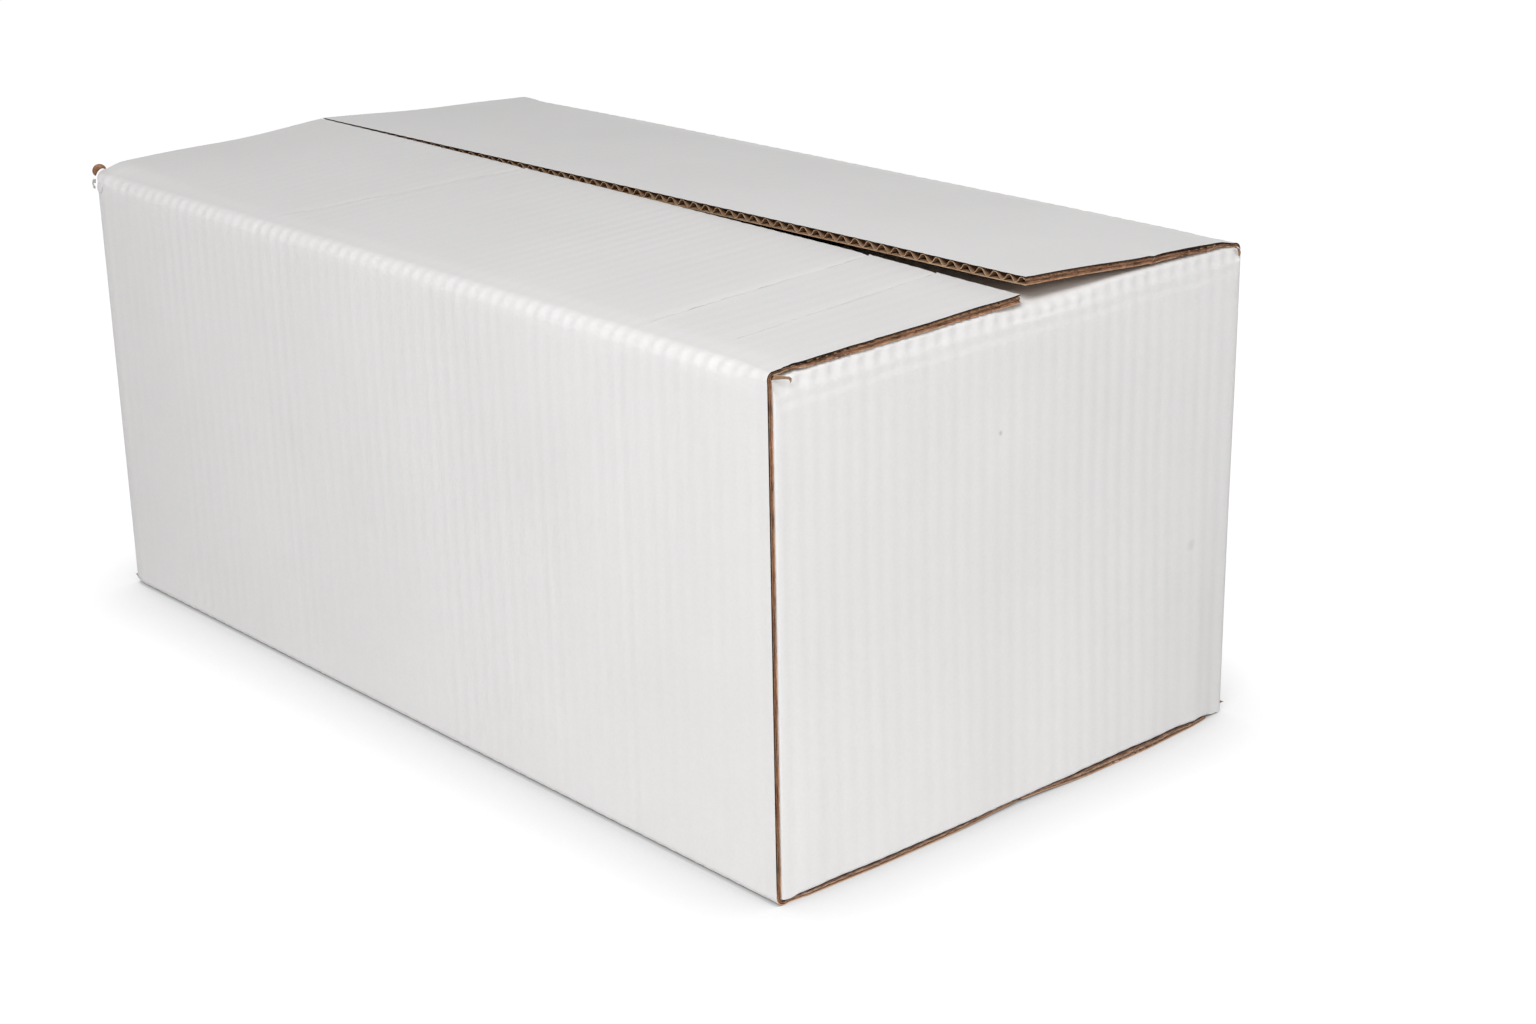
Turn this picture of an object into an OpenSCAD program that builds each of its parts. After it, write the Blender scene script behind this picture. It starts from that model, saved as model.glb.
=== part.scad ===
// Corrugated shipping box of the regular slotted pattern. One sheet of fluted
// board is scored, slotted, folded into four walls and glued along one corner.
// Its eight flaps close the top and the bottom. The long walls are at front and
// rear, and the two outer top flaps swing on the creases above them.

/* [Box] */
// Outside length, along X
box_length = 400; // [260:1:600]
// Outside width, along Y
box_width = 214; // [150:1:300]
// Outside height, up to the creases of the outer top flaps
box_height = 172; // [80:1:400]

/* [Board] */
// Thickness of the whole board
board_t = 3; // [2.4:0.1:4.2]
// Thickness of each outer sheet of the board
liner_t = 0.3; // [0.2:0.05:0.45]
// Thickness of the fluted sheet between the two liners
medium_t = 0.25; // [0.15:0.05:0.4]
// Distance from one flute to the next
flute_pitch = 6.4; // [5.5:0.1:9]

/* [Folds] */
// Radius left on the inside of each fold
fold_inner_r = 0.4; // [0.2:0.1:1.5]
// Width of board that is crushed flat beside the crease of a flap
crush_w = 7; // [2:0.5:20]
// Clearance at the moving creases and between a flap and the one under it
flap_clearance = 0.3; // [0.2:0.1:1]

/* [Outer top flaps] */
// Gap between the two outer top flaps at the left end of the box
seam_left = 0.8; // [0.6:0.1:4]
// Gap between the two outer top flaps at the right end of the box
seam_right = 3; // [0.6:0.1:6]
// Rise of the front flap's free edge at its left end
front_lift_left = 6.3; // [1:0.1:12]
// Rise of the front flap's free edge at its right end
front_lift_right = 3; // [1:0.1:12]
// Rise of the rear flap's free edge at its left end
rear_lift_left = 6.3; // [1:0.1:12]
// Rise of the rear flap's free edge at its right end
rear_lift_right = 8; // [1:0.1:12]

/* [Inner and bottom flaps] */
// Depth of the inner flaps, from the outside of the end wall to the free edge
inner_flap_depth = 107; // [40:1:125]
// Gap between the side of an inner flap and the long wall beside it
inner_flap_side_gap = 1.5; // [0.5:0.1:5]
// Gap between the two outer bottom flaps
bottom_seam = 2; // [0.4:0.1:6]

/* [Glued faces] */
// Depth that two glued faces press into each other
glue_press = 0.05; // [0.02:0.01:0.1]
// Width of the glue tab inside the front wall
tab_w = 35; // [15:1:60]
// Height that the slanted ends take off the tab along its free side
tab_taper = 12; // [2:1:30]

/* [Hidden] */
$fn = 96;

white_liner = [0.9, 0.9, 0.89];

half_l = box_length / 2;
half_w = box_width / 2;
fold_r = board_t + fold_inner_r;

// The long walls run between the folds of the outer flaps. The end walls and
// the corner folds stop one board lower, where the inner flaps turn in.
long_low = fold_r;
long_high = box_height - fold_r - flap_clearance;
end_low = board_t + fold_r - glue_press;
end_high = box_height - board_t - flap_clearance - fold_r;
inner_flap_w = box_width - 2 * (board_t + inner_flap_side_gap);

// Section of the board: the fluted sheet is a zigzag between the liners, and
// each cell is the triangle that it leaves open above or below itself.
core_t = board_t - 2 * liner_t;
flute_angle = atan(core_t / (flute_pitch / 2));
cell_half_w = flute_pitch / 2 - medium_t / 2 / sin(flute_angle);
cell_h = core_t - medium_t / 2 / cos(flute_angle);
edge_margin = 1;

function flute_count(w) = floor((w - 2 * edge_margin) / flute_pitch);
function crest(w, i) = (i - flute_count(w) / 2) * flute_pitch;
// The corners of a cell centred on x: its two base corners, then its tip, which
// points the way that way says, 1 for up and -1 for down.
function cell(x, way) = let (base = way > 0 ? liner_t : board_t - liner_t)
    [[x - way * cell_half_w, base], [x + way * cell_half_w, base], [x, base + way * cell_h]];
function down_cells(w) = [for (i = [0 : flute_count(w) - 1]) cell(crest(w, i + 0.5), -1)];
function up_cells(w) = [for (i = [1 : flute_count(w) - 1]) cell(crest(w, i), 1)];

// Sprung top flaps. A point of one is named by its place x along the box, its
// share s of the way from the crease to the free edge and its height h in the
// board. The free edge rises from one end to the other, so the panel is warped.
fluted_from = crush_w / (half_w - fold_r);

function blend(x, left, right) = left + (right - left) * (x + half_l) / box_length;
function flap_point(x, s, h, lifts) = [
    x,
    -half_w + fold_r + s * (half_w - fold_r - blend(x, seam_left, seam_right) / 2),
    box_height - board_t + h + s * blend(x, lifts[0], lifts[1])
];

// A quarter ring about the origin, which is the section of a fold
module fold_section() {
    intersection() {
        difference() {
            circle(r = fold_r);
            circle(r = fold_inner_r);
        }
        square(fold_r);
    }
}

// A fold along X, centred, turned to face the front and the top
module flap_fold(w) {
    translate([-w / 2, 0, 0])
        rotate([90, 0, 90])
            linear_extrude(w)
                mirror([1, 0])
                    fold_section();
}

// The cut edge of the board with its flutes, centred on x
module board_section(w) {
    difference() {
        translate([-w / 2, 0])
            square([w, board_t]);
        for (c = concat(down_cells(w), up_cells(w)))
            polygon(c);
    }
}

// A flat flap lying on z = 0, from its crushed crease at y = 0 to its free edge
module flat_flap(w, depth) {
    translate([-w / 2, 0, 0])
        cube([w, crush_w, board_t]);
    translate([0, depth, 0])
        rotate([90, 0, 0])
            linear_extrude(depth - crush_w)
                board_section(w);
}

// A flat flap with the fold that joins it to the top of a wall, whose outside
// is at y = 0 and whose flat part ends at z = 0
module folded_flap(w, depth) {
    translate([0, fold_r, 0])
        flap_fold(w);
    translate([0, fold_r, fold_inner_r])
        flat_flap(w, depth - fold_r);
}

// The four walls seen from above, less the folds
module long_wall_plan(side, right_end) {
    translate([-half_l + fold_r, side > 0 ? half_w - board_t : -half_w])
        square([right_end + half_l - fold_r, board_t]);
}

module end_wall_plan(side, front_end) {
    translate([side > 0 ? half_l - board_t : -half_l, front_end])
        square([board_t, half_w - fold_r - front_end]);
}

module corner_plan(x_side, y_side) {
    translate([x_side * (half_l - fold_r), y_side * (half_w - fold_r)])
        mirror([x_side > 0 ? 0 : 1, 0])
            mirror([0, y_side > 0 ? 0 : 1])
                fold_section();
}

// The fold of the glue tab lies behind the front wall
module tab_fold_plan() {
    translate([half_l - fold_r, -half_w + board_t + fold_r])
        mirror([0, 1])
            fold_section();
}

module glue_tab() {
    root = half_l - fold_r;
    translate([0, -half_w + 2 * board_t, 0])
        rotate([90, 0, 0])
            linear_extrude(board_t + glue_press)
                polygon([
                    [root, end_low],
                    [root, end_high],
                    [root - tab_w, end_high - tab_taper],
                    [root - tab_w, end_low + tab_taper]
                ]);
}

module walls() {
    translate([0, 0, long_low])
        linear_extrude(long_high - long_low) {
            long_wall_plan(-1, half_l);
            long_wall_plan(1, half_l - fold_r);
        }
    translate([0, 0, end_low])
        linear_extrude(end_high - end_low) {
            end_wall_plan(-1, -half_w + fold_r);
            end_wall_plan(1, -half_w + board_t + fold_r);
            corner_plan(-1, -1);
            corner_plan(-1, 1);
            corner_plan(1, 1);
            tab_fold_plan();
        }
    glue_tab();
}

module inner_flap_pair() {
    for (turn = [0, 180])
        rotate([0, 0, turn + 90])
            translate([0, -half_l, 0])
                folded_flap(inner_flap_w, inner_flap_depth);
}

module bottom_outer_flaps() {
    for (turn = [0, 180])
        rotate([0, 0, turn])
            translate([0, -half_w, 0])
                folded_flap(box_length, half_w - bottom_seam / 2);
}

// The body is all of the sheet that keeps its place: the walls, the glued
// corner, the inner flaps and the glued flaps of the bottom
module box_body() {
    color(white_liner)
        union() {
            walls();
            translate([0, 0, end_high])
                inner_flap_pair();
            translate([0, 0, end_low])
                mirror([0, 0, 1])
                    inner_flap_pair();
            translate([0, 0, long_low])
                mirror([0, 0, 1])
                    bottom_outer_flaps();
        }
}

// The warped panel of a sprung flap with its open flutes, as one closed skin.
// Its stations are the two ends and the crests of the flutes between them.
module warped_panel(lifts) {
    down = down_cells(box_length);
    up = up_cells(box_length);
    n = len(down);
    stations = [
        -half_l,
        for (i = [1 : n - 1]) crest(box_length, i),
        half_l
    ];
    corners = [[0, 0], [0, board_t], [1, board_t], [1, 0]];
    points = concat(
        [for (x = stations, c = corners) flap_point(x, c[0], c[1], lifts)],
        [
            for (outline = concat(down, up), s = [fluted_from, 1], c = outline)
                flap_point(c[0], s, c[1], lifts)
        ]
    );

    // The crease side, the top and the bottom, and the two ends
    skin = [
        for (i = [0 : n - 1])
            let (a = 4 * i, b = a + 4)
                each [
                    [a, a + 1, b + 1, b],
                    [a + 1, a + 2, b + 2],
                    [a + 1, b + 2, b + 1],
                    [a + 3, a, b + 3],
                    [a, b, b + 3]
                ]
    ];
    ends = [[0, 3, 2, 1], [4 * n, 4 * n + 1, 4 * n + 2, 4 * n + 3]];

    // Each cell has its blind end and three walls
    first_cell = 4 * (n + 1);
    flutes = [
        for (j = [0 : len(down) + len(up) - 1])
            let (p = first_cell + 6 * j)
                each [
                    [p, p + 1, p + 2],
                    for (k = [0 : 2])
                        let (a = p + k, b = p + (k + 1) % 3)
                            each [[a, a + 3, b + 3], [a, b + 3, b]]
                ]
    ];

    // The free edge: what is left between the mouths of the cells. Mouths are
    // named by their corners: top for the skin above, low for the skin below,
    // dr, dl and dt for the right, left and tip of a cell that points down, and
    // ul, ur and ut for a cell that points up.
    top = [for (i = [0 : n]) 4 * i + 2];
    low = [for (i = [0 : n]) 4 * i + 3];
    dr = [for (i = [0 : n - 1]) first_cell + 6 * i + 3];
    dl = [for (i = dr) i + 1];
    dt = [for (i = dr) i + 2];
    ul = [for (i = [0 : n - 1]) first_cell + 6 * (n + i - 1) + 3];
    ur = [for (i = ul) i + 1];
    ut = [for (i = ul) i + 2];
    free_edge = concat(
        [for (i = [0 : n - 1]) [dl[i], dr[i], top[i + 1], top[i]]],
        [
            for (i = [1 : n - 1])
                each [
                    [ut[i], dl[i], top[i], dr[i - 1]],
                    [ut[i], ur[i], dt[i], dl[i]],
                    [dt[i - 1], ul[i], ut[i], dr[i - 1]],
                    [low[i], ur[i], ul[i]]
                ]
        ],
        [
            for (i = [1 : n - 2])
                each [
                    [ur[i], ul[i + 1], dt[i]],
                    [low[i], low[i + 1], ul[i + 1], ur[i]]
                ]
        ],
        [
            [low[0], dt[0], dl[0], top[0]],
            [low[0], low[1], ul[1], dt[0]],
            [low[n], top[n], dr[n - 1], dt[n - 1]],
            [low[n - 1], low[n], dt[n - 1], ur[n - 1]]
        ]
    );
    polyhedron(points = points, faces = concat(skin, ends, flutes, free_edge));
}

module sprung_flap(lifts) {
    translate([0, -half_w + fold_r, box_height - fold_r])
        flap_fold(box_length);
    warped_panel(lifts);
}

module front_flap() {
    color(white_liner)
        sprung_flap([front_lift_left, front_lift_right]);
}

module rear_flap() {
    color(white_liner)
        mirror([0, 1, 0])
            sprung_flap([rear_lift_left, rear_lift_right]);
}

box_body();
front_flap();
rear_flap();
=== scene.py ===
import bpy
import bmesh
import math
import random
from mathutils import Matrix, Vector


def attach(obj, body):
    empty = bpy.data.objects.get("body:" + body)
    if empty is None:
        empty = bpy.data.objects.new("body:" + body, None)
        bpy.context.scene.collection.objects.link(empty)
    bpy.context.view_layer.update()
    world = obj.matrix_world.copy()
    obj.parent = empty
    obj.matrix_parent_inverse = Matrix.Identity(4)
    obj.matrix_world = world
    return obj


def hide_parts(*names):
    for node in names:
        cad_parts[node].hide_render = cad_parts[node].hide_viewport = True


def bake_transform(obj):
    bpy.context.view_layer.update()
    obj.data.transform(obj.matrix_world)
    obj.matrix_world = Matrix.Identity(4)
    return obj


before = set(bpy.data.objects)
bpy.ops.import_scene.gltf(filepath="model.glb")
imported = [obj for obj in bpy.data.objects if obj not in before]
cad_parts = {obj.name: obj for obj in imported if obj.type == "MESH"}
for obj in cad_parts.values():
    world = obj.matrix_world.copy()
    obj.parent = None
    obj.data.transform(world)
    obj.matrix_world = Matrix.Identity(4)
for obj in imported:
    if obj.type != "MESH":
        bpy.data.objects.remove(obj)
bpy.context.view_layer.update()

# Sizes of the carton, in millimetres. Meshes are scaled to metres when they are placed.
MM = 0.001
HALF_L = 200.0
HALF_W = 107.0
CREASE_Z = 172.0

# The board: its thickness, whole and crushed, and its flutes
BOARD = 3.0
CRUSHED_BOARD = 2.2
CORNER_BOARD = 1.9
LINER = 0.3
MEDIUM = 0.25
PITCH = 6.4
WASH = 0.085

# Folds of the long sides, the flaps on them and the seam between the flaps
ROLL = 3.4
TOP_ROLL = 5.4
END_CREASE_ROLL = 3.1
LONG_HIGH = CREASE_Z - TOP_ROLL
FLAP_LENGTH = HALF_W - TOP_ROLL
FLAP_END_SET = 1.2
CORNER_LEAD = 2.0
SEAM_HALF = {-1: (0.4, 0.5), 1: (0.4, 1.6)}
BOTTOM_SEAM = 2.0

# How far each top flap's free edge is lifted at its left, middle and right, and how
# far its right end sags
LIFT_FRONT = (6.3, 4.9, 2.7)
LIFT_REAR = (6.3, 7.0, 7.9)
SAG = {-1: 0.5, 1: 0.35}

# Folds and flaps of the ends, and the glue tab
INNER_FLAP_TOP = 168.7
INNER_FLAP_REACH = 107.0
INNER_FLAP_HALF_W = 102.5
END_TOP_ROLL = 6.0
END_FOOT_ROLL = 1.4
END_LOW = 4.2
END_HIGH = INNER_FLAP_TOP - END_TOP_ROLL
TAB_W = 35.0
TAB_TAPER = 12.0

# How the box stands: its lean, its longer left end and its worn left front corner
LEAN = 1.2
LEFT_STRETCH = 0.010
WORN_X = -191
WORN_Y = -90
CORNER_WEAR = 0.012

rng = random.Random(62)


def mix(a, b, share):
    return a + (b - a) * share


def smooth(x):
    x = min(max(x, 0.0), 1.0)
    return x * x * (3 - 2 * x)


def spread(first, last, count):
    return [mix(first, last, i / count) for i in range(count + 1)]


def curve(points, x):
    """Reads a smooth curve that is given by its points (x, value)."""
    if x <= points[0][0]:
        return points[0][1]
    for (x0, v0), (x1, v1) in zip(points, points[1:]):
        if x <= x1:
            return mix(v0, v1, smooth((x - x0) / (x1 - x0)))
    return points[-1][1]


# Paper and board finishes

def new_material(name):
    material = bpy.data.materials.new(name)
    material.use_nodes = True
    nodes = material.node_tree.nodes
    return material, nodes, material.node_tree.links, nodes["Principled BSDF"]


def noise(nodes, links, coordinate, scale, detail, stretch=(1, 1, 1)):
    mapping = nodes.new("ShaderNodeMapping")
    mapping.inputs["Scale"].default_value = stretch
    links.new(coordinate, mapping.inputs["Vector"])
    texture = nodes.new("ShaderNodeTexNoise")
    texture.inputs["Scale"].default_value = scale
    texture.inputs["Detail"].default_value = detail
    links.new(mapping.outputs["Vector"], texture.inputs["Vector"])
    return texture.outputs["Fac"]


def ramp(nodes, links, value, stops):
    node = nodes.new("ShaderNodeValToRGB")
    while len(node.color_ramp.elements) < len(stops):
        node.color_ramp.elements.new(0.5)
    for element, (place, colour) in zip(node.color_ramp.elements, stops):
        element.position = place
        element.color = (*colour, 1)
    links.new(value, node.inputs["Fac"])
    return node.outputs["Color"]


def multiply(nodes, links, first, second):
    node = nodes.new("ShaderNodeMix")
    node.data_type = "RGBA"
    node.blend_type = "MULTIPLY"
    node.inputs["Factor"].default_value = 1
    links.new(first, node.inputs["A"])
    links.new(second, node.inputs["B"])
    return node.outputs["Result"]


def bump(nodes, links, height, distance):
    node = nodes.new("ShaderNodeBump")
    node.inputs["Strength"].default_value = 1
    node.inputs["Distance"].default_value = distance
    links.new(height, node.inputs["Height"])
    return node.outputs["Normal"]


def step_up(nodes, links, value, start, end, least=0.0):
    """Rises to 1 as the value goes from start to end."""
    node = nodes.new("ShaderNodeMapRange")
    node.inputs["From Min"].default_value = start
    node.inputs["From Max"].default_value = end
    node.inputs["To Min"].default_value = least
    links.new(value, node.inputs["Value"])
    return node.outputs["Result"]


def arithmetic(nodes, links, operation, first, second=None):
    node = nodes.new("ShaderNodeMath")
    node.operation = operation
    links.new(first, node.inputs[0])
    if second is not None:
        links.new(second, node.inputs[1])
    return node.outputs["Value"]


def seen_directly(nodes, links):
    """1 for rays from the camera or a glossy reflection, 0 for all others."""
    path = nodes.new("ShaderNodeLightPath")
    return arithmetic(nodes, links, "MAXIMUM", path.outputs["Is Camera Ray"], path.outputs["Is Glossy Ray"])


# The fibres' scale, how far they change the roughness, and the part of a smudge's
# radius that is evenly dark
FIBRE_SCALE = 900
ROUGHNESS_SWING = 0.08
SMUDGE_CORE = 0.3


def paper(name, dark, light, cloud_scale, fibre, roughness, bump_depth, smudges=()):
    """Paper with soft clouds, fine fibres, a slight tooth and perhaps a few smudges.
    A smudge is its place, its radius and how much light it leaves."""
    material, nodes, links, shader = new_material(name)
    coordinate = nodes.new("ShaderNodeTexCoord").outputs["Object"]
    clouds = noise(nodes, links, coordinate, cloud_scale, 4)
    fibres = noise(nodes, links, coordinate, FIBRE_SCALE, 3)
    tone = ramp(nodes, links, clouds, [(0.3, dark), (0.7, light)])
    low = 1 - fibre
    specks = ramp(nodes, links, fibres, [(0.35, (low, low, low)), (0.6, (1, 1, 1))])
    tone = multiply(nodes, links, tone, specks)
    for place, radius, grey in smudges:
        distance = nodes.new("ShaderNodeVectorMath")
        distance.operation = "DISTANCE"
        distance.inputs[1].default_value = place
        links.new(coordinate, distance.inputs[0])
        spot = step_up(nodes, links, distance.outputs["Value"], SMUDGE_CORE * radius, radius, grey)
        tone = multiply(nodes, links, tone, spot)
    links.new(tone, shader.inputs["Base Color"])
    rough = nodes.new("ShaderNodeMapRange")
    rough.inputs["To Min"].default_value = roughness - ROUGHNESS_SWING
    rough.inputs["To Max"].default_value = roughness + ROUGHNESS_SWING
    links.new(fibres, rough.inputs["Value"])
    links.new(rough.outputs["Result"], shader.inputs["Roughness"])
    links.new(bump(nodes, links, fibres, bump_depth), shader.inputs["Normal"])
    shader.inputs["Specular IOR Level"].default_value = 0.3
    return material


SMUDGES = (((0.2, 0.0846, 0.0689), 0.0028, 0.9), ((0.2, -0.0095, 0.1313), 0.0011, 0.72))
white_paper = paper(
    "white_clay_coated_liner", (0.775, 0.765, 0.76), (0.81, 0.80, 0.795), 14, 0.02, 0.55, 0.00002, SMUDGES)
kraft_paper = paper("kraft_liner", (0.33, 0.205, 0.118), (0.40, 0.26, 0.155), 40, 0.22, 0.75, 0.00006)
fluting_paper = paper("kraft_fluting", (0.27, 0.155, 0.085), (0.36, 0.22, 0.125), 90, 0.25, 0.8, 0.00006)
scrap_paper = paper("torn_kraft_scrap", (0.22, 0.10, 0.05), (0.40, 0.22, 0.13), 500, 0.35, 0.85, 0.0001)
# Grey with darker blotches: painted shade on a fibre of liner and on the white lobe's rim.
painted_shade_grey_paper = paper("grey_fibre_painted_shade", (0.25, 0.25, 0.24), (0.6, 0.6, 0.59), 700, 0.1, 0.8, 0.00004)
cut_paper = paper("cut_liner_edge", (0.36, 0.21, 0.12), (0.62, 0.43, 0.28), 260, 0.25, 0.8, 0.00008)


BROWN = (1.6, 0.87, 0.52)


def brown_steps(*steps):
    """Stops of a colour ramp from pairs of place and lightness."""
    return [(place, tuple(share * light for share in BROWN)) for place, light in steps]


# The cut board's tone from the outer liner to the inner one, above and at the foot. Above, the near-black
# band just under the outer liner is painted shade of the gap there; at the foot, the near-black tone at the
# inner liner is painted shade under the wall's foot fold.
UPPER_LAYERS_WITH_PAINTED_SHADE = brown_steps(
    (0.0, 0.016), (0.23, 0.012), (0.29, 0.08), (0.36, 0.14), (0.46, 0.215),
    (0.56, 0.19), (0.65, 0.1), (0.76, 0.16), (0.88, 0.25), (1.0, 0.4))
LOWER_LAYERS_WITH_PAINTED_SHADE = [
    (0.0, (0.55, 0.40, 0.31)), (0.25, (0.47, 0.33, 0.25)), (0.55, (0.40, 0.27, 0.20)),
    (0.8, (0.27, 0.16, 0.11)), (0.9, (0.08, 0.045, 0.03)), (1.0, (0.05, 0.03, 0.02))]

# Where the chart on the edge passes from the bottom flap to the wall, in metres
FOOT_OF_CHART = (0.108, 0.112)


def board_edge(name):
    """The torn layers of the board where it is cut along its flutes, with painted shade: near-black in the
    gap under the outer liner and under the wall's foot fold. The chart on the edge runs across the board from
    0 to 1 and along it in metres."""
    material, nodes, links, shader = new_material(name)
    chart = nodes.new("ShaderNodeTexCoord").outputs["UV"]
    streaks = noise(nodes, links, chart, 1, 4, (5.5, 170, 1))
    flecks = noise(nodes, links, chart, 1, 3, (16, 1300, 1))
    blots = noise(nodes, links, chart, 1, 2, (1.2, 60, 1))
    split = nodes.new("ShaderNodeSeparateXYZ")
    links.new(chart, split.inputs["Vector"])
    upper = ramp(nodes, links, split.outputs["X"], UPPER_LAYERS_WITH_PAINTED_SHADE)
    lower = ramp(nodes, links, split.outputs["X"], LOWER_LAYERS_WITH_PAINTED_SHADE)
    layers = nodes.new("ShaderNodeMix")
    layers.data_type = "RGBA"
    links.new(step_up(nodes, links, split.outputs["Y"], *FOOT_OF_CHART), layers.inputs["Factor"])
    links.new(lower, layers.inputs["A"])
    links.new(upper, layers.inputs["B"])
    strips = ramp(nodes, links, streaks, [
        (0.36, (0.42, 0.36, 0.33)), (0.48, (0.92, 0.88, 0.85)), (0.62, (1.35, 1.3, 1.25))])
    specks = ramp(nodes, links, flecks, [(0.32, (0.62, 0.58, 0.56)), (0.58, (1.06, 1.06, 1.06))])
    patches = ramp(nodes, links, blots, [(0.3, (0.74, 0.72, 0.7)), (0.6, (1.1, 1.1, 1.1))])
    colour = layers.outputs["Result"]
    for pattern in (strips, specks, patches):
        colour = multiply(nodes, links, colour, pattern)
    links.new(colour, shader.inputs["Base Color"])
    shader.inputs["Roughness"].default_value = 0.85
    shader.inputs["Specular IOR Level"].default_value = 0.2
    links.new(bump(nodes, links, streaks, 0.0003), shader.inputs["Normal"])
    return material


def liner_cut(name):
    """The cut edge of the outer liner: painted near-black as the shade in the gap under the liner, but light
    near the floor.
    """
    material, nodes, links, shader = new_material(name)
    split = nodes.new("ShaderNodeSeparateXYZ")
    links.new(nodes.new("ShaderNodeTexCoord").outputs["Object"], split.inputs["Vector"])
    height = step_up(nodes, links, split.outputs["Z"], 0.003, 0.008)
    links.new(ramp(nodes, links, height, brown_steps((0.0, 0.38), (1.0, 0.016))), shader.inputs["Base Color"])
    shader.inputs["Roughness"].default_value = 0.9
    shader.inputs["Specular IOR Level"].default_value = 0
    return material


torn_edge_with_painted_shade = board_edge("torn_board_edge_painted_shade")
# Painted shade: the outer liner's cut rim is near-black as the gap under the liner.
painted_shade_liner_cut = liner_cut("liner_cut_painted_shade")


# Sheets of board

def new_piece(name, bm, materials):
    mesh = bpy.data.meshes.new(name)
    bm.to_mesh(mesh)
    bm.free()
    for material in materials:
        mesh.materials.append(material)
    piece = bpy.data.objects.new(name, mesh)
    bpy.context.scene.collection.objects.link(piece)
    return piece


def settle(x, y, z):
    """The box leans a little, so its top lies to the right of its foot.
    Its left front corner is worn rounder than the others."""
    lean = LEAN * (z / CREASE_Z - 0.5)
    if x < WORN_X and y < WORN_Y:
        y += CORNER_WEAR * (WORN_X - x) ** 2
    return Vector((x + lean + LEFT_STRETCH * min(0.0, x), y + lean, z))


def sheet(name, columns, rows, place, facing, materials, drop=None, chart=None):
    """A grid whose lines are the columns and rows, laid out by place(column, row).
    facing is a point beside its outer face, and drop says which cells are cut away.
    chart(column, row) gives a place on the pattern that follows the surface."""
    bm = bmesh.new()
    across, along = len(columns) - 1, len(rows) - 1
    bmesh.ops.create_grid(bm, x_segments=across, y_segments=along, size=1)
    step = {}
    for vert in bm.verts:
        i = round((vert.co.x + 1) / 2 * across)
        j = round((vert.co.y + 1) / 2 * along)
        step[vert] = (i, j)
    if drop:
        cut = []
        for face in bm.faces:
            i = min(step[v][0] for v in face.verts)
            j = min(step[v][1] for v in face.verts)
            if drop(columns[i], columns[i + 1], rows[j], rows[j + 1]):
                cut.append(face)
        bmesh.ops.delete(bm, geom=cut, context="FACES")
    if chart:
        layer = bm.loops.layers.uv.new("chart")
        for face in bm.faces:
            for loop in face.loops:
                i, j = step[loop.vert]
                loop[layer].uv = chart(columns[i], rows[j])
    for vert in bm.verts:
        i, j = step[vert]
        vert.co = settle(*place(columns[i], rows[j])) * MM
    bmesh.ops.remove_doubles(bm, verts=bm.verts, dist=0.000001)
    bm.normal_update()
    target = Vector(facing) * MM
    nearest = min(bm.faces, key=lambda f: (f.calc_center_median() - target).length)
    if nearest.normal.dot(target - nearest.calc_center_median()) < 0:
        bmesh.ops.reverse_faces(bm, faces=bm.faces)
    for face in bm.faces:
        face.smooth = True
    for edge in bm.edges:
        edge.smooth = not edge.is_boundary
    return new_piece(name, bm, materials)


def thicken(piece, thickness, inner=0, rim=0, offset=-1):
    solid = piece.modifiers.new("paper_thickness", "SOLIDIFY")
    solid.thickness = thickness * MM
    solid.offset = offset
    solid.use_even_offset = False
    solid.material_offset = inner
    solid.material_offset_rim = rim


def finish_piece(piece, bodies, replaced, bend=None):
    if bend:
        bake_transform(piece)
    else:
        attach(piece, bodies[0])
    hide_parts(replaced)


# The layers of a torn edge: share of the board's thickness, recess and raggedness
EDGE_LAYERS = (
    (0.0, 0.02, 0.02), (0.09, 0.05, 0.03), (0.11, 1.4, 0.1), (0.25, 1.4, 0.12),
    (0.3, 0.25, 0.08), (0.42, 0.1, 0.08), (0.56, 0.15, 0.1), (0.64, 0.5, 0.1),
    (0.72, 0.15, 0.1), (0.84, 0.12, 0.08), (0.94, 0.05, 0.04), (1.0, 0.0, 0.05),
)


# The long sides: bottom flap, wall and top flap are one strip of the sheet

def hill(x, width):
    return math.exp(-((x / width) ** 2))


MOST_FLUTES = 65
flute_tone = [rng.uniform(0.6, 1.25) for _ in range(2 * MOST_FLUTES + 1)]


def washboard(x):
    """The liner stands proud on each flute and sinks a little between them."""
    depth = flute_tone[math.floor(x / PITCH) + MOST_FLUTES]
    return -0.5 * WASH * depth * (1 - math.cos(2 * math.pi * x / PITCH))


def lift_at(lifts, x):
    """The lift of a flap's free edge, on a bow through its left, middle and right."""
    share = (x + HALF_L) / (2 * HALF_L)
    left, middle, right = lifts
    bow = middle - (left + right) / 2
    return mix(left, right, share) + 4 * bow * share * (1 - share)


def dent_row():
    """The depth, the shift and the step of the dent at each flute along a crease."""
    return [
        (rng.uniform(0.55, 1.15), rng.uniform(-0.6, 0.6), rng.uniform(-0.5, 0.5))
        for _ in range(2 * MOST_FLUTES + 1)
    ]


dents = {side: dent_row() for side in ("front", "rear", "left", "right")}


def crease_dent(side, along, depth, width, slant=0.18):
    """The dent that the liner buckles into between two crushed flutes.
    depth is counted along the sheet, down the wall from the middle of the crease."""
    if abs(depth) > 3 * width:
        return 0.0
    phase = (along + slant * depth) / PITCH
    k = math.floor(phase)
    size, shift, _ = dents[side][k + MOST_FLUTES]
    return size * math.sin(math.pi * (phase - k)) ** 1.4 * hill(depth - shift, width)


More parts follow.
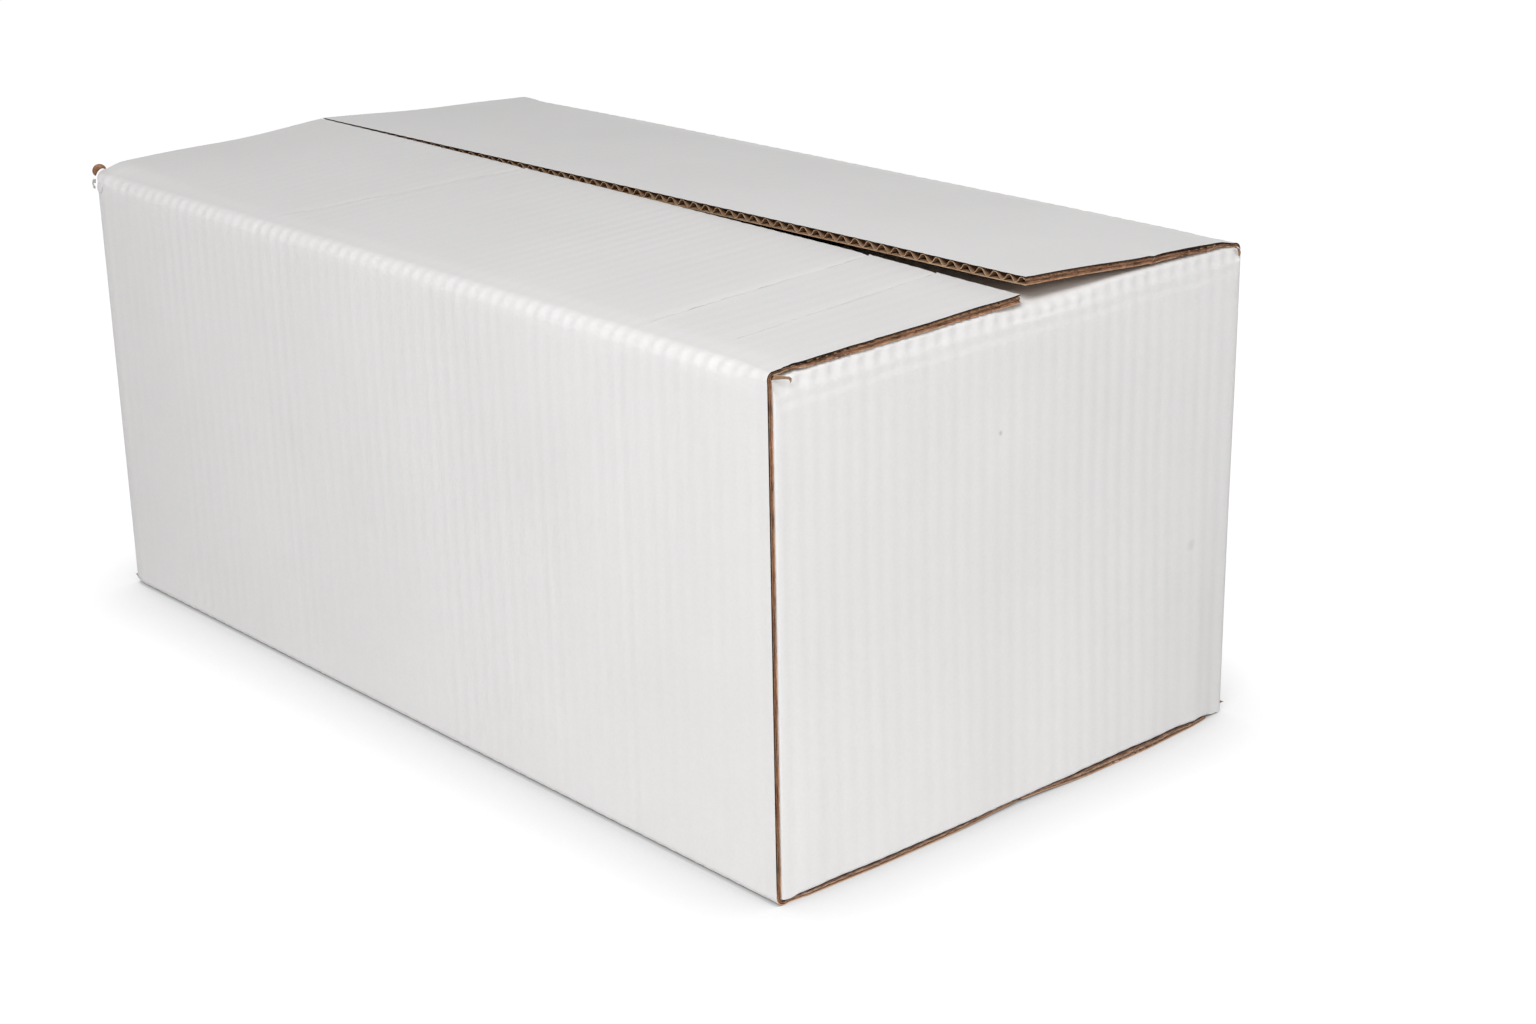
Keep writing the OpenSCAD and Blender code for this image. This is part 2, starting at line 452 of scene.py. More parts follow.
def crease_step(side, along, depth, start):
    """The uneven line, one step for each flute, where the crushed band begins."""
    k = math.floor(along / PITCH + 0.5)
    return smooth((start + 0.9 * dents[side][k + MOST_FLUTES][2] - depth) / 2.2)


# Press lines across the front flap: place along the box at the crease, lean, depth
PRESS_LINES = ((-78.5, 0.2, 0.6), (134.1, -0.034, 0.75), (168.2, -0.06, 0.5))


def press_line(x, d):
    """A line where the flap was pressed: a slope up to it, then a sharp drop."""
    total = 0.0
    for line_x, lean, depth in PRESS_LINES:
        beside = x - line_x - lean * d
        if beside < 0:
            total -= depth * math.exp(beside / 2.6)
        else:
            total += 0.4 * depth * math.exp(-beside / 0.8)
    return total * smooth((d - 3) / 9) if total else 0.0


def near_corner(x):
    """The dents are deeper towards the right end."""
    return 0.62 + 0.5 * smooth((x - 130) / 60)


DENT_REACH = 9


def long_relief(side, x, stretch, d):
    """How far the outer liner stands out from its plain path, in millimetres."""
    bumps = washboard(x)
    fold_meets = ROLL + CORNER_LEAD if stretch == "wall" and (side == "rear" or x < 0) else 0
    fade = smooth((HALF_L - fold_meets - abs(x)) / 2.5)
    half_arc = TOP_ROLL * math.pi / 4
    depths = {"wall": half_arc + LONG_HIGH - d, "top roll": half_arc - d, "top flap": -half_arc - d}
    depth = depths.get(stretch)
    if depth is not None and abs(depth) < DENT_REACH:
        bumps -= 0.42 * near_corner(x) * crease_dent(side, x, depth - 0.6, 2.3)
        if depth > 0:
            bumps -= 0.16 * crease_step(side, x, depth, 6.5) * (1 - smooth((depth - 5) / 3))
    if stretch == "top flap" and side == "front":
        bumps += press_line(x, d)
    return bumps * fade


def crease_radius(x):
    """The crush along the crease is tighter at its two ends."""
    return mix(END_CREASE_ROLL, TOP_ROLL, smooth((HALF_L - 3 - abs(x)) / 14))


# How much further the right end of the bottom fold is drawn in, and where a flap's cut
# end starts to be ragged
FOOT_TUCK = 1.7
RAGGED_FROM = 199.5


def tuck(y_side, x, stretch, s):
    """How far the end of the strip is drawn in, where it wraps round a folded corner."""
    near_end = smooth((abs(x) - 190) / 9.9)
    folded = y_side > 0 or x < 0
    if x > 0 and stretch.startswith("top"):
        start = 1.2 if y_side > 0 else 0.0
        if stretch == "top roll":
            return near_end * mix(start, FLAP_END_SET, s)
        ragged = 0.0
        if x > RAGGED_FROM:
            ragged = 0.2 * (math.sin(1.9 * s + y_side) + math.sin(3.3 * s + 1)) * smooth(s / 6)
        return near_end * FLAP_END_SET + ragged
    if stretch == "top roll" and folded:
        return near_end * ROLL * (1 - math.sin(s * math.pi / 2))
    foot = ROLL + (FOOT_TUCK if x > 0 else 0)
    if stretch == "bottom roll" and folded:
        return near_end * foot
    if stretch == "bottom flap":
        return near_end * mix(0.5, foot if folded else 0.5, smooth((s - 0.93) / 0.07))
    return 0.0


# How high a flap bends up beside its crease, and how far the rear crease is raised
FRONT_KNEE = 0.55
PUFFED_KNEE = 2.6
REAR_KNEE = (1.15, -0.1)
REAR_RISE = 0.85


def flap_height(y_side, lifts, x, s, puffed, knee, rise):
    """The height of a top flap's outer face, s from its crease, with its sag and hollows."""
    share = s / FLAP_LENGTH
    height = CREASE_Z + rise * (1 - share) + knee * smooth((s + 1 + 3 * puffed) / (9 + 5 * puffed))
    height += (lift_at(lifts, x) - knee) * share
    if y_side < 0:
        return height - 1.2 * puffed * hill(share - 0.65, 0.25)
    height -= 0.7 * smooth((-x - 100) / 100) * hill(share - 0.55, 0.25)
    height -= 0.45 * hill(s - 48, 14) * smooth((x - 150) / 50)
    kink = max(0.0, 1 - abs(s - KINK) / (3 if s > KINK else 1.6))
    return height - 0.4 * kink * smooth((x - 190) / 10)


def long_path(y_side, lifts, x, row, inset=0.0, relief=0.0):
    """A point of a long side's strip. row is (stretch, place on it); inset goes into the board."""
    stretch, s = row
    out = relief - inset
    radius = crease_radius(x)
    drawn = math.copysign(tuck(y_side, x, stretch, s), x)
    puffed = smooth((-x - 130) / 70) if y_side < 0 else 0.0
    knee = mix(FRONT_KNEE, PUFFED_KNEE, puffed) if y_side < 0 else mix(*REAR_KNEE, smooth((-x - 60) / 130))
    sag = SAG[y_side] * smooth((x - 120) / 80)
    rise = REAR_RISE * smooth((HALF_L - x) / 25) * smooth((x + 230) / 130) if y_side > 0 else 0.0
    if stretch == "bottom flap":
        d = mix(HALF_W - BOTTOM_SEAM / 2, ROLL, s)
        z = 1.2 * smooth((abs(x) - 120) / 78) * hill(HALF_W - d, 25) - out
    elif stretch == "bottom roll":
        a, r = s * math.pi / 2, ROLL + out
        d, z = ROLL - r * math.sin(a), ROLL - r * math.cos(a)
    elif stretch == "wall":
        d, z = -out, s + rise * smooth((s - 120) / 47)
    elif stretch == "top roll":
        a, r = s * math.pi / 2, max(0.6, radius + out)
        d, z = radius - r * math.cos(a), CREASE_Z + rise - radius + r * math.sin(a)
        z += s * (knee * smooth((1 + 3 * puffed) / (9 + 5 * puffed)) - sag)
    else:
        reach = HALF_W - radius - mix(*SEAM_HALF[y_side], (x + HALF_L) / (2 * HALF_L))
        d = radius + reach * s / FLAP_LENGTH
        z = flap_height(y_side, lifts, x, s, puffed, knee, rise) + out - sag
    y = y_side * (HALF_W - d)
    bow = bottom_bow(y, z) * smooth((x - 60) / 130) if stretch == "bottom flap" else 0.0
    return (x - drawn + bow, y, z)


# How far the crease above each end wall is bowed up, and the height of its foot
ARCH = {
    1: (
        (-101, 0.6), (-94, 1.2), (-80, 1.45), (-50, 1.95), (-20, 2.35), (-4, 2.5),
        (8, 2.2), (28, 2.1), (50, 2.7), (62, 2.7), (90, 2.5), (102, 2.3),
    ),
    -1: ((-101, 0.5), (-60, 1.3), (0, 1.8), (60, 1.3), (102, 0.6)),
}
FOOT = {
    1: (
        (-104, 1.4), (-80, 2.0), (-30, 2.0), (0, 1.8), (20, 2.4),
        (32, 3.0), (52, 3.2), (75, 2.7), (92, 1.6), (102, 0.6),
    ),
    -1: ((-102, 0.5), (-90, 1.4), (0, 1.8), (90, 1.4), (102, 0.5)),
}

# How far the right end's bottom edge is bowed out
BOTTOM_BOW = (
    (-104, 0), (-90, 1.3), (-60, 2.3), (-27, 2.6), (-3, 1.9), (35, 3.4), (60, 3.3), (85, 2.0), (104, 0))


def bottom_bow(y, z):
    return curve(BOTTOM_BOW, y) * (1 - smooth(z / 110))


# Thickness of the board at a flap's cut end, counted from the crease
CUT_END_BOARD = ((0, 1.3), (5, 1.5), (15, 2.35), (45, 2.6), (101, 2.8))


def flap_board(x, s):
    """The thickness of a top flap's board, s from its crease."""
    whole = mix(CRUSHED_BOARD, BOARD, smooth((s - 2) / 12))
    return mix(curve(CUT_END_BOARD, s), whole, smooth((HALF_L - abs(x)) / 20))


# Lines along the strip: closer at the creases and at the rear flap's kink
KINK = 40.5
FLAP_ROWS = [
    0, 0.8, 1.8, 3, 4.5, 6, 8, 10, 13, 17, 23, 31, 36, 38.9, 39.7, KINK,
    42, 43.5, 47, 52, 62, 74, 84, 92, 98, 100.5, FLAP_LENGTH]
WALL_ROWS = [
    ROLL, 4.4, 5.6, 7.5, 11, 18, 32, 55, 80, 105, 128, 144, 153, 157, 159,
    160, 160.8, 161.6, 162.4, 163.2, 164, 164.8, 165.6]
STRIP_ROWS = (
    [("bottom flap", s) for s in (0, 0.1, 0.2, 0.3, 0.42, 0.6, 0.85, 0.93, 0.955, 0.98)]
    + [("bottom roll", s) for s in spread(0, 1, 8)[:-1]]
    + [("wall", z) for z in WALL_ROWS]
    + [("top roll", s) for s in spread(0, 1, 10)[:-1]]
    + [("top flap", s) for s in FLAP_ROWS]
)


def flute_columns(first, last, per_flute):
    """Lines that follow the flutes from one place to another, with the two ends kept."""
    step = PITCH / per_flute
    inside = [k * step for k in range(math.ceil(first / step), math.floor(last / step) + 1)]
    inside = [x for x in inside if first + 0.3 * step < x < last - 0.3 * step]
    return [first] + inside + [last]


WALL_END = HALF_L - ROLL - CORNER_LEAD
long_columns = flute_columns(-HALF_L, HALF_L, 6)
for low, high in ((-82, -54), (127, 138), (159, 172)):
    closer = spread(low, high, round((high - low) / 0.45))
    long_columns += [x for x in closer if min(abs(x - c) for c in long_columns) > 0.12]
long_columns.sort()
for wall_end in (-WALL_END, WALL_END):
    nearest = min(range(len(long_columns)), key=lambda i: abs(long_columns[i] - wall_end))
    long_columns[nearest] = wall_end

LONG_SIDES = (
    ("front", -1, LIFT_FRONT, -WALL_END, HALF_L),
    ("rear", 1, LIFT_REAR, -WALL_END, WALL_END),
)

for side, y_side, lifts, wall_left, wall_right in LONG_SIDES:
    def roll_place(row):
        return TOP_ROLL * math.pi / 2 * row[1] if row[0] == "top roll" else row[1]

    def place(x, row):
        relief = long_relief(side, x, row[0], roll_place(row))
        return long_path(y_side, lifts, x, row, relief=relief)

    def off_wall(x0, x1, row0, row1):
        middle = (x0 + x1) / 2
        return row0[0] == "wall" and not wall_left < middle < wall_right

    bend = ((0, y_side * HALF_W * MM, LONG_HIGH * MM), (0, y_side * (HALF_W - TOP_ROLL) * MM, CREASE_Z * MM))
    beside_wall = (0, y_side * (HALF_W + 40), 100)
    above_flap = (0, y_side * 50, 220)
    outer = sheet(
        side + "_outer_liner", long_columns, STRIP_ROWS, place, beside_wall,
        # The outer liner's rim is painted near-black as shade in the gap under it.
        [white_paper, kraft_paper, painted_shade_liner_cut], off_wall)
    thicken(outer, LINER, inner=1, rim=2)
    finish_piece(outer, ("body", side), side + "_flap", bend)

    # Inner liner and wave of the flap, which ride the flap
    def inner_place(x, row):
        s = row[1]
        return long_path(y_side, lifts, x, row, inset=flap_board(x, s) - LINER - 0.3 * washboard(x))

    inner_rows = [("top flap", s) for s in [0.3] + FLAP_ROWS[2:]]
    flap_inner = sheet(
        side + "_flap_inner_liner", flute_columns(-HALF_L, HALF_L, 4), inner_rows, inner_place, above_flap,
        [kraft_paper, kraft_paper, cut_paper])
    thicken(flap_inner, LINER, inner=1, rim=2)
    finish_piece(flap_inner, (side,), side + "_flap")

    def wave_place(x, row):
        s = row[1]
        core = flap_board(x, s) - 2 * LINER
        pressed = 0
        if side == "front":
            pressed = 0.4 * sum(hill(x - line_x - 50 * lean, 14) for line_x, lean, _ in PRESS_LINES)
        height = (core - MEDIUM) / 2 - pressed
        angle = 2 * math.pi * x / PITCH
        wave = math.cos(angle) - 0.09 * math.cos(3 * angle)
        return long_path(y_side, lifts, x, row, inset=LINER + core / 2 + pressed - height * wave / 0.91)

    wave_rows = [("top flap", s) for s in (1.5, 6, 12, 40, 70, 95, FLAP_LENGTH - 0.1)]
    fluting = sheet(
        side + "_flap_fluting", flute_columns(-HALF_L + 0.2, HALF_L - 0.2, 10), wave_rows, wave_place,
        above_flap, [fluting_paper, fluting_paper, cut_paper])
    thicken(fluting, MEDIUM, inner=1, rim=2, offset=0)
    finish_piece(fluting, (side,), side + "_flap")

    # Inner liner of the wall and the bottom flap
    def lining_place(x, row):
        return long_path(y_side, lifts, x, row, inset=BOARD - LINER)

    lining_rows = (
        [("bottom flap", s) for s in (0, 0.12, 0.25, 0.4, 0.9)]
        + [("bottom roll", s) for s in (0, 0.5)]
        + [("wall", z) for z in (ROLL, 30, 90, 150, LONG_HIGH)]
        + [("top roll", s) for s in (0.3, 0.5)]
    )
    lining = sheet(
        side + "_wall_lining", flute_columns(-HALF_L + 4, HALF_L - 4, 2), lining_rows, lining_place,
        beside_wall, [kraft_paper, kraft_paper, cut_paper])
    thicken(lining, LINER, inner=1, rim=2)
    finish_piece(lining, ("body",), "box_body")

    # Cut ends of the strip, where the torn layers of the board show
    for x_side in (-1, 1):
        seed = [rng.uniform(0, 10) for _ in EDGE_LAYERS]

        def along(row):
            """How far round the strip a row lies, in millimetres on the chart."""
            starts = {"bottom flap": 0, "bottom roll": 110, "wall": 112, "top roll": 290, "top flap": 300}
            lengths = {"bottom flap": 105, "bottom roll": 5, "top roll": 8}
            return starts[row[0]] + row[1] * lengths.get(row[0], 1)

        def board_at(row):
            """The thickness of the board at the cut end."""
            if row[0] == "top flap":
                return flap_board(HALF_L, row[1])
            if row[0] == "top roll":
                return mix(CORNER_BOARD, CUT_END_BOARD[0][1], row[1])
            if row[0] == "bottom flap":
                y = y_side * mix(BOTTOM_SEAM / 2, HALF_W - ROLL, row[1])
                return max(1.2, 0.15 + curve(FOOT[x_side], y) - 1.0 * hill(y, 25))
            return 1.4 if row[0] == "bottom roll" else CORNER_BOARD

        def layer_place(k, row):
            share, recess, rag = EDGE_LAYERS[k]
            t = along(row)
            wobble = math.sin(t * 1.3 + seed[k]) + math.sin(t * 3.1 + 2 * seed[k])
            wobble = rag * (wobble + 0.8 * math.sin(t * 7.3 + 3 * seed[k]))
            board = board_at(row)
            is_rim = k in (0, len(EDGE_LAYERS) - 1)
            depth = share * board + (0.35 if is_rim else 0.5) * wobble
            x, y, z = long_path(y_side, lifts, x_side * HALF_L, row, inset=max(-0.06, min(board, depth)))
            return (x - x_side * max(0.0, recess + wobble), y, z)

        def gap_share(row):
            """The gap under the liner is wider beside the crease."""
            return mix(0.55, 1.0, smooth(abs(row[1] - 16) / 22)) if row[0] == "top flap" else 1.0

        edge_rows = (
            [("bottom flap", s) for s in spread(0, 1, 80)[:-1]]
            + [("bottom roll", s) for s in (0, 0.25, 0.5, 0.75)]
            + [("wall", z) for z in spread(ROLL, LONG_HIGH, 150)[:-1]]
            + [("top roll", s) for s in spread(0, 1, 8)[:-1]]
            + [("top flap", s) for s in spread(0, FLAP_LENGTH, 110)]
        )
        keeps_wall = side == "front" and x_side > 0
        cut_end = sheet(
            side + ("_right" if x_side > 0 else "_left") + "_cut_edge",
            list(range(len(EDGE_LAYERS))), edge_rows, layer_place,
            # The cut ends carry painted shade, near-black under the outer liner and under the wall's foot
            # fold.
            (x_side * 250, y_side * 60, CREASE_Z), [torn_edge_with_painted_shade],
            lambda k0, k1, r0, r1: r0[0] == "wall" and not keeps_wall,
            lambda k, row: (EDGE_LAYERS[k][0] * gap_share(row), along(row) * MM))
        finish_piece(cut_end, ("body", side), side + "_flap", bend)


# The ends: wall, inner flaps, corner folds and glue tab are full board

def end_plan(x_side, column, height):
    """A place on the end's strip seen from above, with its outward direction. The fold
    is pressed square where it meets the cut edge, and at its top at the other corner."""
    part, s = column
    turn = s * math.pi / 2
    square = 0.0
    if x_side > 0:
        square = 0.55 if part == "front roll" else 0.45 * height
    across, along = math.cos(turn) ** (1 - square), math.sin(turn) ** (1 - square)
    if part == "wall":
        return HALF_L, s, 1.0, 0.0
    front = HALF_W
    if x_side > 0:
        front -= mix(CORNER_BOARD, BOARD, smooth((s - 2) / 6)) if part == "front lead" else CORNER_BOARD
    if part == "rear lead":
        return HALF_L - ROLL - s, HALF_W, 0.0, 1.0
    if part == "front lead":
        return HALF_L - ROLL - s, -front, 0.0, -1.0
    x = HALF_L - ROLL + ROLL * across
    if part == "rear roll":
        return x, HALF_W - ROLL + ROLL * along, math.cos(turn), math.sin(turn)
    return x, -front + ROLL - ROLL * along, math.cos(turn), -math.sin(turn)


# The heights of a corner fold's top, where it leaves the end wall and where it meets the
# long wall
NEAR_CORNER_TOP = (169.6, 168.2)
RIGHT_CORNER_TOP = (170.9, 168.6)
LEFT_CORNER_TOP = (170.5, 169.0)


def end_limits(x_side, column):
    """The heights between which the straight part of the strip runs at a column."""
    part, s = column
    if part == "wall":
        low = foot_roll(column) + curve(FOOT[x_side], s)
        if s > 0 or x_side < 0:
            low = mix(low, 0.3, smooth((abs(s) - INNER_FLAP_HALF_W) / 1.1))
        return low, END_HIGH + curve(ARCH[x_side], s)
    if part == "front lead" and x_side > 0:
        taper = TAB_TAPER * min(1.0, max(0.0, (s - 2) / TAB_W))
        return BOARD + ROLL + taper, END_HIGH - taper
    if part.endswith("lead"):
        return ROLL, CREASE_Z - crease_radius(x_side * HALF_L) - (0.6 if x_side < 0 else 0)
    dome = END_TOP_ROLL * dome_share(column)
    if part == "front roll" and x_side > 0:
        return mix(1.5, 2.4, s), mix(*NEAR_CORNER_TOP, s ** 1.5) - dome
    top = mix(*(RIGHT_CORNER_TOP if x_side > 0 else LEFT_CORNER_TOP), s ** 1.5)
    return 0.3 + ROLL * (1 - math.cos(s * math.pi / 2)), top - dome


def foot_roll(column):
    """The fold at the foot shrinks to nothing towards the corners."""
    return mix(END_FOOT_ROLL, 0.1, smooth((abs(column[1]) - 97) / 4)) if column[0] == "wall" else 0.1


def dome_share(column):
    """The top fold shrinks to a small dome on the corner."""
    return mix(1.0, 0.08, smooth(1.2 * column[1])) if column[0].endswith("roll") else 1.0


# The end wall's crushed top: its facet takes up FACET of the fold's lines
TILT = math.radians(12)
FACET = 0.45
FACET_IN = 0.9
FOLD_RADIUS = 2.2
FOLD_IN = FACET_IN + FOLD_RADIUS * math.cos(TILT)
WIDE_FOLD = ((-14, 2.2), (-2, 4.6), (14, 4.8), (42, 2.2))


def fold_radius(x_side, column):
    """The fold is wider where the two outer flaps part."""
    return curve(WIDE_FOLD, column[1]) if x_side > 0 and column[0] == "wall" else FOLD_RADIUS


def top_profile(s, radius):
    """The end wall's crushed top: a facet that leans in, then a fold."""
    facet_up = END_TOP_ROLL - radius * (1 - math.sin(TILT))
    if s < FACET:
        share = s / FACET
        return FACET_IN * share, facet_up * share, TILT * smooth(share / 0.3)
    a = mix(TILT, math.pi / 2, (s - FACET) / (1 - FACET))
    inward = FACET_IN + radius * (math.cos(TILT) - math.cos(a))
    return inward, facet_up + radius * (math.sin(a) - math.sin(TILT)), a


def end_dent(side, y, depth):
    return mix(0.4, 0.3, smooth((y + 20) / 60)) * crease_dent(side, y, depth - 1.0, 2.6, 0.1)


def end_wall(x_side, column, height_up, low, high):
    """The height of a line of the end's straight part, and how far it stands out."""
    y = column[1]
    side = "right" if x_side > 0 else "left"
    z = height_up + (high - END_HIGH) * smooth((height_up - 100) / (END_HIGH - 100))
    z += (low - END_LOW) * (1 - smooth((height_up - END_LOW) / 25))
    if column[0] != "wall":
        return z, 0.0
    depth = END_TOP_ROLL * math.pi / 4 + END_HIGH - height_up
    out = washboard(y) - end_dent(side, y, depth)
    out -= 0.30 * crease_step(side, y, depth, 9.5) * (1 - smooth((depth - 8) / 3)) * smooth(depth / 3)
    return z, out


def end_top_fold(x_side, column, y, s):
    """How far inward and up a line of the crushed top fold lies."""
    side = "right" if x_side > 0 else "left"
    wash = washboard(y) if column[0] == "wall" else 0.0
    inward, up, a = top_profile(s, fold_radius(x_side, column))
    depth = END_TOP_ROLL * math.pi / 4 - END_TOP_ROLL * s * math.pi / 2
    out = wash * (1 - s) - end_dent(side, y, depth) - 0.3 * smooth(depth / 3)
    dome = dome_share(column)
    return (inward - out * math.cos(a)) * dome, (up + out * math.sin(a)) * dome


def end_flap_edge(x_side, y, top, edge, level, run):
    """The height that an inner flap settles to, run from its fold. The right one is
    sprung up under the gap between the outer flaps."""
    sprung = hill(y - 22, 34) if top and x_side > 0 else 0.0
    settled = level + (edge - level) * math.exp(-run / mix(16, 60, sprung))
    return settled + 0.42 * run * math.exp(-run / 8) * sprung


def end_place(x_side, column, row):
    """A point of an end's strip. row is (stretch, place on it)."""
    stretch, s = row
    top = stretch.startswith("top")
    height = smooth((s - 40) / 110) if stretch == "wall" else float(top)
    x, y, nx, ny = end_plan(x_side, column, height)
    low, high = end_limits(x_side, column)
    edge = high if top else low
    if stretch == "wall":
        z, out = end_wall(x_side, column, s, low, high)
        x, y = x + nx * out, y + ny * out
    else:
        roll = END_TOP_ROLL if top else foot_roll(column)
        if stretch == "top roll":
            inward, up = end_top_fold(x_side, column, y, s)
        elif stretch == "bottom roll":
            a = s * math.pi / 2
            wash = washboard(y) if column[0] == "wall" else 0.0
            inward, up = roll - (roll + wash) * math.cos(a), (roll + wash) * math.sin(a)
        else:
            fold_in = FACET_IN + fold_radius(x_side, column) * math.cos(TILT) if top else roll
            run = s * (INNER_FLAP_REACH - roll - (fold_in - FOLD_IN if top else 0))
            inward, up = fold_in + run, roll
            level = INNER_FLAP_TOP - roll if top else BOARD + roll
            edge = end_flap_edge(x_side, y, top, edge, level, run)
        x, y, z = x - nx * inward, y - ny * inward, edge + (up if top else -up)
    if x_side > 0 and not column[0].endswith("lead"):
        x += bottom_bow(y, z)
    return (x_side * x, y, z)


end_rows = (
    [("bottom flap", s) for s in (1, 0.6, 0.25, 0.1, 0)]
    + [("bottom roll", s) for s in (0.8, 0.6, 0.4, 0.2)]
    + [("wall", z) for z in [END_LOW, 5, 6, 8, 12, 20, 40, 70, 100, 120, 134, 143, 148]]
    + [("wall", z) for z in spread(150, END_HIGH, 15)]
    + [("top roll", s) for s in spread(0, 1, 11)[1:-1]]
    + [("top flap", s) for s in (0, 0.015, 0.035, 0.06, 0.1, 0.16, 0.25, 0.4, 0.65, 1)]
)

for x_side in (1, -1):
    side = "right" if x_side > 0 else "left"
    start_y = -(HALF_W - CORNER_BOARD if x_side > 0 else HALF_W) + ROLL
    wall_ys = flute_columns(start_y, HALF_W - ROLL, 6)
    flap_ends = [INNER_FLAP_HALF_W] if x_side > 0 else [-INNER_FLAP_HALF_W, INNER_FLAP_HALF_W]
    kept = [y for y in wall_ys if abs(abs(y) - INNER_FLAP_HALF_W) > 0.4 or y == wall_ys[0]]
    wall_ys = sorted(set(kept + flap_ends))
    columns = (
        [("front lead", s) for s in ((TAB_W, 20, 8, 2) if x_side > 0 else (CORNER_LEAD, 1))]
        + [("front roll", s) for s in (1, 0.83, 0.67, 0.5, 0.33, 0.17)]
        + [("wall", y) for y in wall_ys]
        + [("rear roll", s) for s in (0.17, 0.33, 0.5, 0.67, 0.83, 1)]
        + [("rear lead", s) for s in (1, CORNER_LEAD)]
    )

    def off_flap(c0, c1, row0, row1):
        """The flaps and folds end at the slots, and the tab and leads have neither."""
        if row0[0] == "wall" and row1[0] == "wall":
            return False
        if "flap" not in row0[0] + row1[0] and "bottom" not in row0[0] + row1[0]:
            return "lead" in c0[0] + c1[0]
        if c0[0] != "wall" or c1[0] != "wall":
            return True
        return min(c0[1], c1[1]) < -INNER_FLAP_HALF_W - 0.01 or max(c0[1], c1[1]) > INNER_FLAP_HALF_W + 0.01

    end_board = sheet(
        side + "_end_board", columns, end_rows, lambda c, r: end_place(x_side, c, r), (x_side * 260, 0, 90),
        [white_paper, kraft_paper, cut_paper], off_flap)
    thicken(end_board, CRUSHED_BOARD if x_side > 0 else BOARD, inner=1, rim=2)
    finish_piece(end_board, ("body",), "box_body")


# Small damage: curled and frayed slivers of paper at the corners and on the rear flap


def scrap(name, path, width, across, thickness, materials, body):
    """A sliver of liner that follows a path, as wide as width says at each place."""
    count = len(path) - 1

    def lay(k, n):
        return tuple(path[n][a] + across[a] * k * width[n] / 2 for a in range(3))

    middle = path[count // 2]
    facing = (middle[0] + 30, middle[1] - 20, middle[2] - 20)
    piece = sheet(name, [-1, -0.33, 0.33, 1], list(range(count + 1)), lay, facing, materials)
    thicken(piece, thickness, inner=1, rim=2, offset=0)
    finish_piece(piece, (body,), "box_body")


scrap(
    "torn_corner_curl",
    [(200.0, -104.6, 170.2), (200.4, -103.4, 170.0), (200.7, -102.0, 169.7), (201.0, -100.6, 169.4),
     (201.1, -99.5, 169.1), (201.1, -98.8, 168.4), (200.8, -98.6, 167.6)],
    [2.0, 1.7, 1.2, 0.9, 0.9, 1.0, 0.7], (0.5, 0.2, 0.8), 0.3, [kraft_paper, white_paper, cut_paper], "body")
scrap(
    "kinked_edge_fray",
    [(198.9, 62.8, 174.3), (199.1, 61.9, 173.6), (199.1, 61.1, 172.9), (199.0, 60.5, 172.3)],
    [0.5, 1.3, 1.2, 0.5], (0.0, 0.7, 0.7), 0.15, [cut_paper, kraft_paper, cut_paper], "rear")
scrap(
    "corner_edge_fray",
    [(198.9, 93.3, 173.1), (199.1, 92.5, 172.5), (199.0, 91.7, 171.9)],
    [0.5, 1.0, 0.5], (0.0, 0.7, 0.7), 0.15, [cut_paper, kraft_paper, cut_paper], "rear")
scrap(
    "corner_fold_fray",
    [(200.2, 101.8, 170.9), (200.5, 103.0, 170.6), (200.6, 103.9, 169.8), (200.5, 104.3, 168.7),
     (200.3, 104.5, 167.4)],
    [1.0, 2.0, 2.2, 1.7, 0.6], (0.0, 0.8, -0.6), 0.3, [scrap_paper, scrap_paper, cut_paper], "body")

FLAKE_TURNS = 12


def facing_front(centre, aside, up, bulge):
    """A place in the plane of the left front corner's flake, aside and up from its centre."""
    x, y, z = centre
    return (x + 0.459 * aside + 0.8 * bulge, y + 0.888 * aside - 0.5 * bulge, z + up)


def crescent_place(k, n):
    """A flake that faces the front, thick in its middle and pointed at its ends."""
    turn = math.radians(mix(205, 40, n / FLAKE_TURNS))
    half = 0.22 + 1.2 * math.sin(math.pi * n / FLAKE_TURNS) ** 0.8 * mix(1.2, 0.7, n / FLAKE_TURNS)
    radius = 2.7 + k * half
    aside, up = radius * math.cos(turn), radius * math.sin(turn)
    return facing_front((-200.7, -103.9, 171.8), aside, 0.92 * up, 0.7 * (1 - k * k))


def lobe_place(k, n):
    """The rounded corner of white liner that the flake has curled off."""
    turn = math.radians(360 * n / FLAKE_TURNS)
    aside, up = 2.9 * k * math.cos(turn), 2.9 * k * math.sin(turn)
    return facing_front((-199.9, -102.2, 170.6), aside, up, 0.5 * (1 - k * k))



# A place that the flakes' outer faces look towards
FLAKES_FACE = (-190, -140, 180)
for name, rings, place, thickness, materials in (
    ("curled_corner_scrap", [-1, -0.5, 0, 0.5, 1], crescent_place, 0.6,
     [scrap_paper, scrap_paper, cut_paper]),
    # The lobe's rim is painted grey as shade.
    ("bare_corner_lobe", [0.02, 0.4, 0.75, 1], lobe_place, 0.5,
     [white_paper, white_paper, painted_shade_grey_paper]),
):
    flake = sheet(name, rings, list(range(FLAKE_TURNS + 1)), place, FLAKES_FACE, materials)
    thicken(flake, thickness, inner=1, rim=2)
    finish_piece(flake, ("body",), "box_body")

